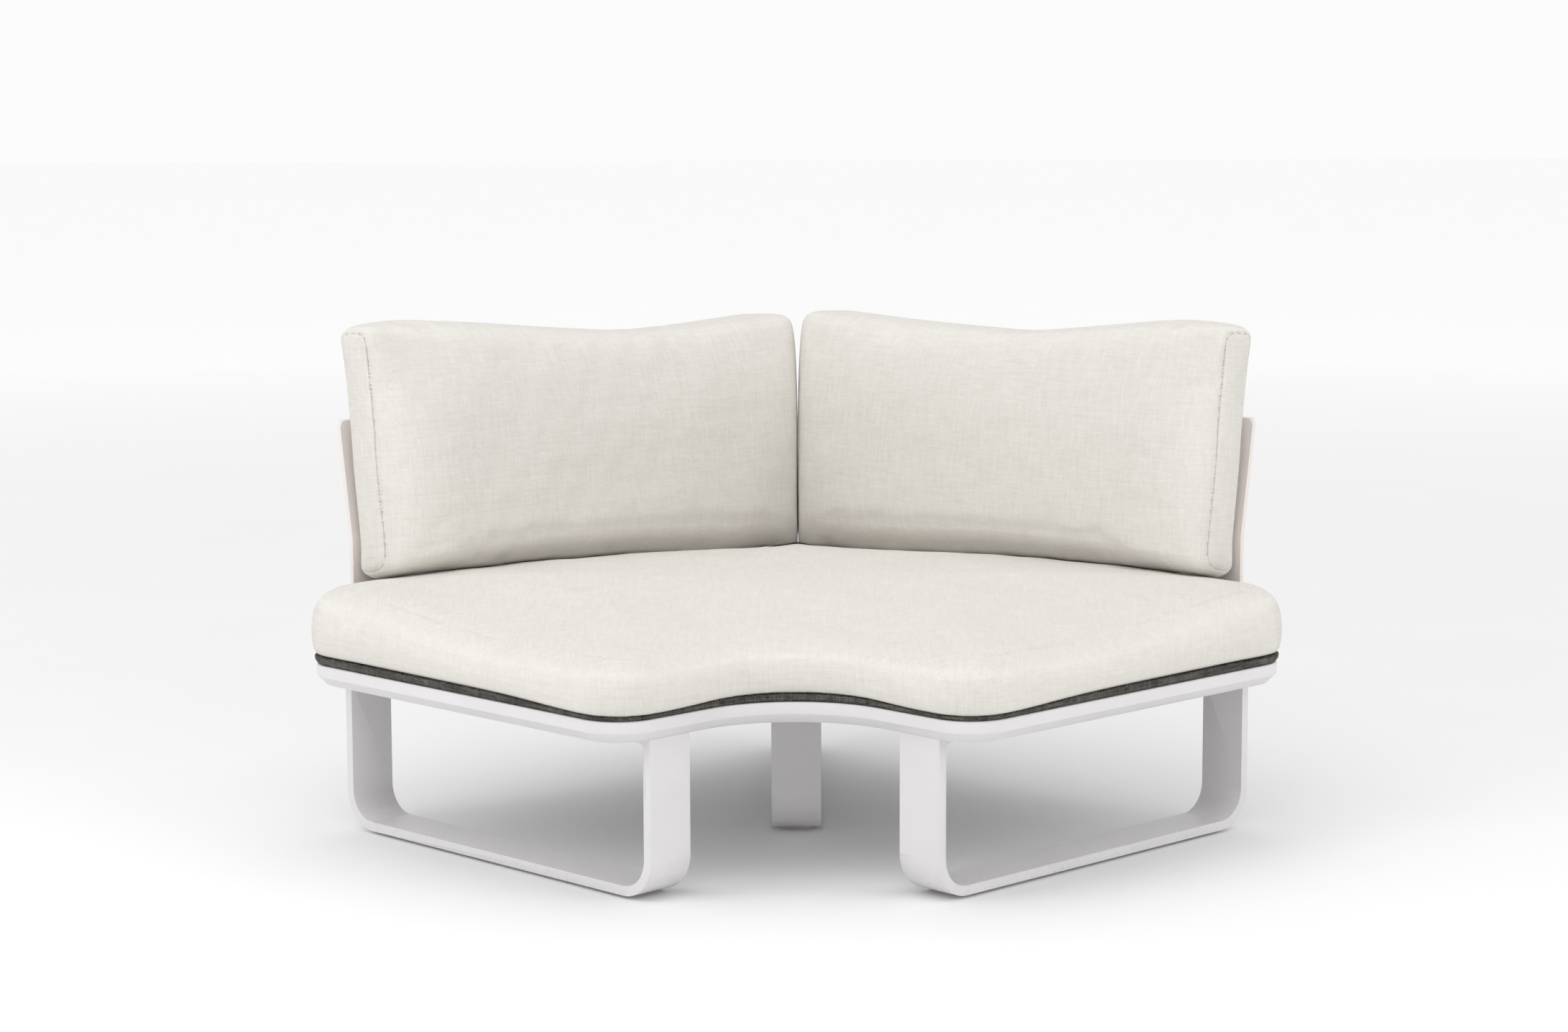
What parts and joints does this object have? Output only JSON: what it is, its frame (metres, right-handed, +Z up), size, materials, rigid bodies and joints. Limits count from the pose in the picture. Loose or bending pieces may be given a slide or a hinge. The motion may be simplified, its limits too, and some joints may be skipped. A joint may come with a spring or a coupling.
{
  "type": "garden bench",
  "caption": "Outdoor corner lounge seat: wings at a right angle, a white flat-bar sled frame, and lift-off seat and back cushions in a pale woven fabric.",
  "frame": {"origin": "on the floor, under the centre of the bench's bounding box", "axes": "+Z up, -Y to the front where people sit down, +X to the right as seen from the front"},
  "size_m": [1.5434, 1.2898, 0.8229],
  "materials": {
    "powder_coat": "satin",
    "deck_coat": "satin",
    "backrest_coat": "satin",
    "steel_fasteners": "satin",
    "glide_plastic": "matte",
    "cover_fabric": "matte",
    "base_mesh": "matte",
    "cushion_foam": "matte",
    "zip_tape": "matte"
  },
  "bodies": {
    "frame": {"seat_rim": "powder_coat", "centre_spine": "deck_coat", "deck_slat_1": "deck_coat", "deck_slat_2": "deck_coat", "deck_slat_3": "deck_coat", "deck_slat_4": "deck_coat", "deck_slat_5": "deck_coat", "deck_slat_6": "deck_coat", "deck_slat_7": "deck_coat", "deck_slat_8": "deck_coat", "deck_slat_9": "deck_coat", "deck_slat_10": "deck_coat", "left_front_slat_1": "deck_coat", "left_front_slat_2": "deck_coat", "right_front_slat_1": "deck_coat", "right_front_slat_2": "deck_coat", "left_leg": "powder_coat", "right_leg": "powder_coat", "rear_leg": "powder_coat", "leg_bolts": "steel_fasteners", "leg_nuts": "steel_fasteners", "left_front_glide": "glide_plastic", "left_rear_glide": "glide_plastic", "right_front_glide": "glide_plastic", "right_rear_glide": "glide_plastic", "rear_leg_front_glide": "glide_plastic", "rear_leg_rear_glide": "glide_plastic", "glide_screws": "steel_fasteners", "left_end_post": "backrest_coat", "left_corner_post": "backrest_coat", "right_end_post": "backrest_coat", "right_corner_post": "backrest_coat", "left_top_rail": "backrest_coat", "left_middle_rail": "backrest_coat", "left_lower_rail": "backrest_coat", "post_screws": "steel_fasteners", "post_nuts": "steel_fasteners", "right_top_rail": "backrest_coat", "right_middle_rail": "backrest_coat", "right_lower_rail": "backrest_coat"},
    "seat_cushion": {"seat_cover": "cover_fabric", "seat_mesh_base": "base_mesh", "seat_foam_core": "cushion_foam", "seat_zip": "zip_tape"},
    "left_back_cushion": {"left_back_cover": "cover_fabric", "left_back_foam_core": "cushion_foam", "left_back_zip": "zip_tape"},
    "right_back_cushion": {"right_back_cover": "cover_fabric", "right_back_foam_core": "cushion_foam", "right_back_zip": "zip_tape"}
  },
  "joints": [
    {"name": "seat_cushion_lift", "type": "slide", "parent": "frame", "child": "seat_cushion", "axis": [0, 0, 1], "range_m": [0, 0.42]},
    {"name": "left_back_cushion_lift", "type": "slide", "parent": "seat_cushion", "child": "left_back_cushion", "axis": [0, 0, 1], "range_m": [0, 0.3]},
    {"name": "right_back_cushion_lift", "type": "slide", "parent": "seat_cushion", "child": "right_back_cushion", "axis": [0, 0, 1], "range_m": [0, 0.3]}
  ]
}
